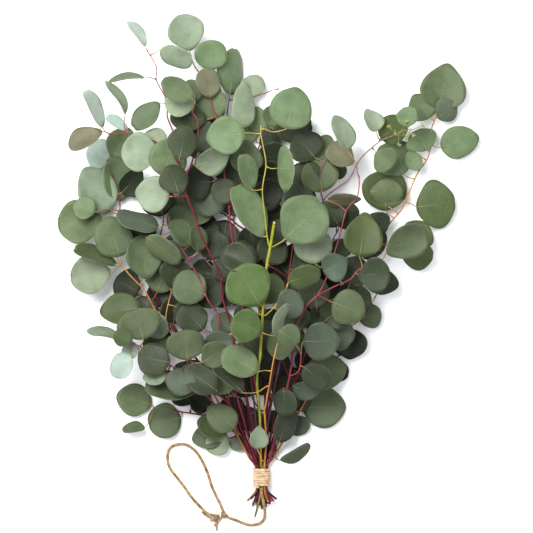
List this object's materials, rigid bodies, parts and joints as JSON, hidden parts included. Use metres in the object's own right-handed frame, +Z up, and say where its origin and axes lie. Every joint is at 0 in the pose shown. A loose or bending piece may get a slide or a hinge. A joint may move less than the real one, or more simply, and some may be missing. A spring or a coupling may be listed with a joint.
{
  "type": "tied bunch of silver-dollar eucalyptus branches",
  "caption": "Flat-lying bunch of leafy eucalyptus branches, wound together at the stems with jute twine whose loose end makes a loop.",
  "frame": {"origin": "middle of the bunch's box in plan, on the surface it lies on; the loose twine isn't counted", "axes": "+Y runs from the tie and cut ends to the leafy tips, +X to the right of the bunch, +Z up from the surface"},
  "size_m": [0.4234, 0.5175, 0.1077],
  "materials": {
    "leaf": "waxy bloom over a leathery matt leaf",
    "crimson_bark": "smooth young bark, satin",
    "red_bark": "smooth young bark, satin",
    "purple_bark": "smooth young bark, satin",
    "ochre_bark": "smooth young bark, satin",
    "green_bark": "smooth young bark, satin",
    "twine": "hairy natural jute, matt"
  },
  "bodies": {
    "root": {"branch_01_stem": "crimson_bark", "branch_01_shoot_1": "leaf", "branch_01_shoot_2": "leaf", "branch_02_stem": "crimson_bark", "branch_02_shoot_1": "leaf", "branch_02_shoot_2": "leaf", "branch_02_shoot_3": "leaf", "branch_02_shoot_4": "leaf", "branch_03_stem": "crimson_bark", "branch_03_shoot_1": "leaf", "branch_03_shoot_2": "leaf", "branch_04_stem": "crimson_bark", "branch_04_shoot_1": "leaf", "branch_04_shoot_2": "leaf", "branch_05_stem": "ochre_bark", "branch_05_shoot_1": "leaf", "branch_05_shoot_2": "leaf", "branch_06_stem": "purple_bark", "branch_06_shoot_1": "leaf", "branch_06_shoot_2": "leaf", "branch_07_stem": "crimson_bark", "branch_07_shoot_1": "leaf", "branch_08_stem": "ochre_bark", "branch_08_shoot_1": "leaf", "branch_09_stem": "purple_bark", "branch_09_shoot_1": "leaf", "branch_09_shoot_2": "leaf", "branch_10_stem": "purple_bark", "branch_10_shoot_1": "leaf", "branch_11_stem": "red_bark", "branch_11_shoot_1": "leaf", "branch_12_stem": "red_bark", "branch_12_shoot_1": "leaf", "branch_13_stem": "crimson_bark", "branch_13_shoot_1": "leaf", "branch_14_stem": "crimson_bark", "branch_14_shoot_1": "leaf", "branch_14_shoot_2": "leaf", "branch_15_stem": "red_bark", "branch_15_shoot_1": "leaf", "branch_15_shoot_2": "leaf", "branch_16_stem": "crimson_bark", "branch_16_shoot_1": "leaf", "branch_16_shoot_2": "leaf", "branch_17_stem": "green_bark", "branch_17_shoot_1": "leaf", "branch_17_shoot_2": "leaf", "branch_17_shoot_3": "leaf", "branch_17_shoot_4": "leaf", "branch_18_stem": "ochre_bark", "branch_18_shoot_1": "leaf", "branch_18_shoot_2": "leaf", "twine_wrap": "twine", "twine_tail": "twine", "twine_loop": "twine", "twine_knot": "twine", "twine_ends": "twine"}
  },
  "joints": []
}
